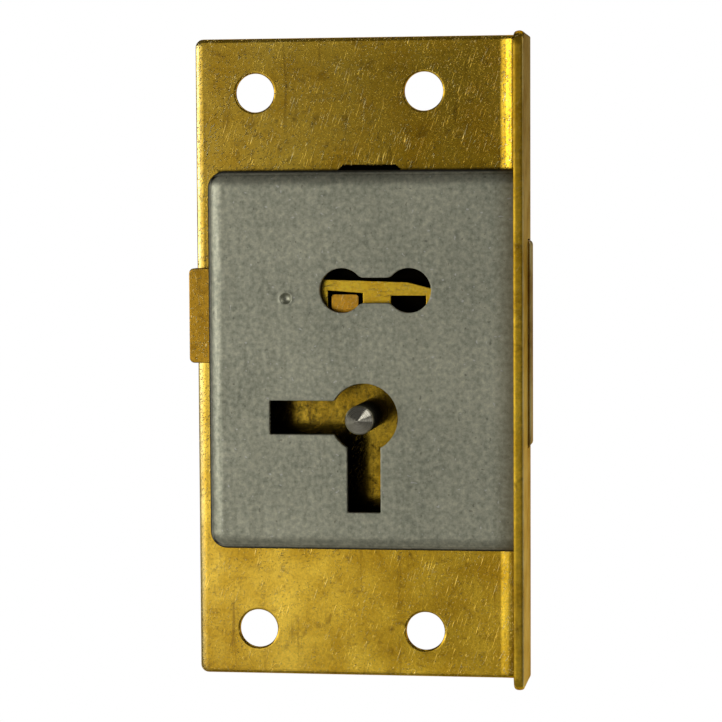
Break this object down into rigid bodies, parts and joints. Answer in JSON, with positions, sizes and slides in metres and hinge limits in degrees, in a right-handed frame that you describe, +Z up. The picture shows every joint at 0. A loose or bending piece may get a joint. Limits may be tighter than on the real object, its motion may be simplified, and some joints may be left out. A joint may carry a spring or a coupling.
{
  "type": "cut cupboard lock",
  "caption": "Cut cupboard lever lock: bent brass back plate with selvedge, drawn steel cap with keyhole and lever window, sliding bolt, pivoted levers with leaf springs and a pointed key pin.",
  "frame": {"origin": "on the key pin's axis, at the front face of the back plate", "axes": "+X towards the selvedge and the bolt's throw, +Z up the plate, -Y towards the side that the key comes from"},
  "size_m": [0.0341, 0.0129, 0.064],
  "materials": {
    "plate_brass": "rolled sheet, handled and scratched",
    "cap_steel": "drawn steel, dull grey",
    "turned_steel": "turned",
    "bolt_brass": "sawn and dressed bar",
    "lever_brass": "stamped sheet",
    "spring_steel": "spring strip"
  },
  "bodies": {
    "case": {"back_plate": "plate_brass", "cap": "cap_steel", "key_pin": "turned_steel", "lever_pivot": "turned_steel", "pivot_collar": "lever_brass"},
    "bolt_set": {"bolt": "bolt_brass", "bolt_stump": "bolt_brass"},
    "lever_set_1": {"lever_1": "lever_brass", "lever_spring_1": "spring_steel"},
    "lever_set_2": {"lever_2": "lever_brass", "lever_spring_2": "spring_steel"},
    "lever_set_3": {"lever_3": "lever_brass", "lever_spring_3": "spring_steel"},
    "lever_set_4": {"lever_4": "lever_brass", "lever_spring_4": "spring_steel"}
  },
  "joints": [
    {"name": "bolt_throw", "type": "slide", "parent": "case", "child": "bolt_set", "axis": [1, 0, 0], "range_m": [0, 0.0062]},
    {"name": "lever_1_drop", "type": "hinge", "parent": "case", "child": "lever_set_1", "pos_m": [-0.00761, 0, 0.01165], "axis": [0, 1, 0], "range_deg": [0, 3.1], "stiffness_Nm_per_rad": 0.002, "springref_deg": 57.3, "deforming": ["lever_spring_1"]},
    {"name": "lever_2_drop", "type": "hinge", "parent": "case", "child": "lever_set_2", "pos_m": [-0.00761, 0, 0.01165], "axis": [0, 1, 0], "range_deg": [0, 3.5], "stiffness_Nm_per_rad": 0.002, "springref_deg": 57.3, "deforming": ["lever_spring_2"]},
    {"name": "lever_3_drop", "type": "hinge", "parent": "case", "child": "lever_set_3", "pos_m": [-0.00761, 0, 0.01165], "axis": [0, 1, 0], "range_deg": [0, 2.8], "stiffness_Nm_per_rad": 0.002, "springref_deg": 57.3, "deforming": ["lever_spring_3"]},
    {"name": "lever_4_drop", "type": "hinge", "parent": "case", "child": "lever_set_4", "pos_m": [-0.00761, 0, 0.01165], "axis": [0, 1, 0], "range_deg": [0, 3.5], "stiffness_Nm_per_rad": 0.002, "springref_deg": 57.3, "deforming": ["lever_spring_4"]}
  ]
}
